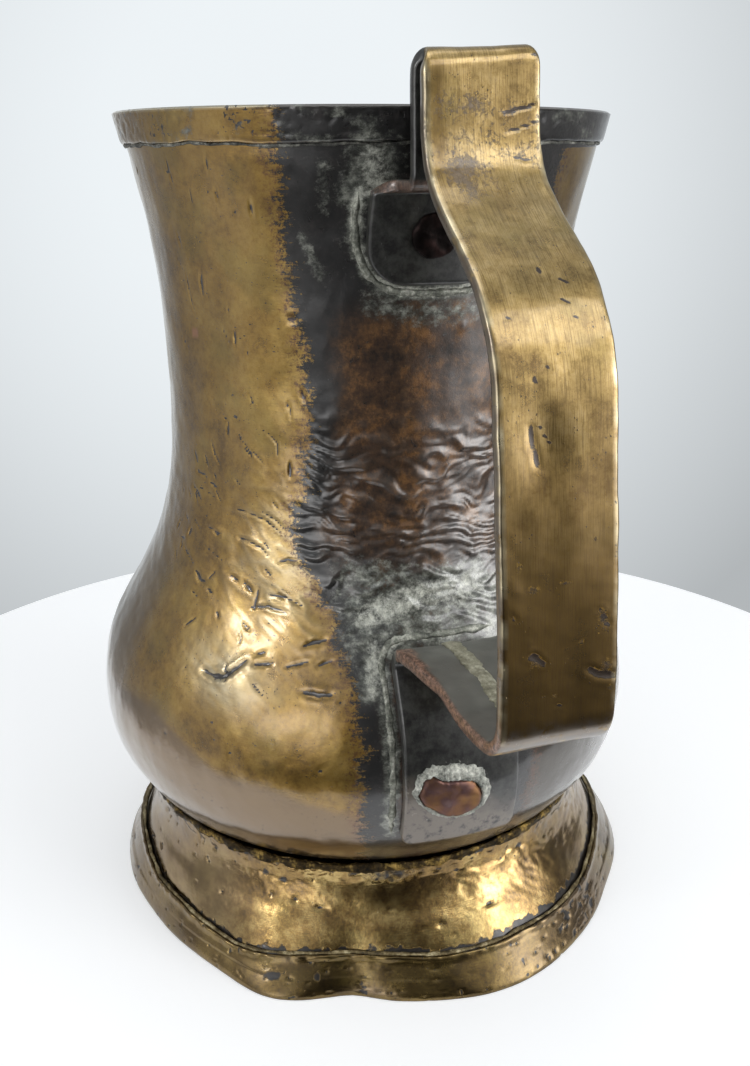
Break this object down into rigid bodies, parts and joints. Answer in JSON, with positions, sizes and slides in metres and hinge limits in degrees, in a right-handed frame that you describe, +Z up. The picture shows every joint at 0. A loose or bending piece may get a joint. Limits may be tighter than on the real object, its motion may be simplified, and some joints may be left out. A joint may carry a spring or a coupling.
{
  "type": "tankard",
  "caption": "Bulbous sheet-brass tankard with a flared neck, spreading foot and riveted strap handle.",
  "frame": {"origin": "centre of the bounding box on the plane that the foot stands on", "axes": "+Z up out of the mouth, +X towards the handle"},
  "size_m": [0.1526, 0.119, 0.1736],
  "materials": {
    "body_brass": "hammered, patinated, worn glossy",
    "foot_brass": "hammered, patinated",
    "handle_brass": "satin, brushed along its length",
    "inside_brass": "dull, dark patina",
    "copper": "dull copper, hammered",
    "solder": "rough grey soft solder"
  },
  "bodies": {
    "root": {"body_shell": "body_brass", "floor_disc": "inside_brass", "rim_band": "body_brass", "foot": "foot_brass", "foot_band": "foot_brass", "handle_strap": "handle_brass", "upper_rivet": "copper", "lower_rivet": "copper", "upper_rove": "copper", "lower_rove": "copper", "handle_seam_solder": "solder", "lower_rivet_solder": "solder", "upper_ear_solder": "solder", "lower_ear_solder": "solder", "rim_band_solder": "solder", "foot_band_solder": "solder", "foot_joint_solder": "solder"}
  },
  "joints": []
}
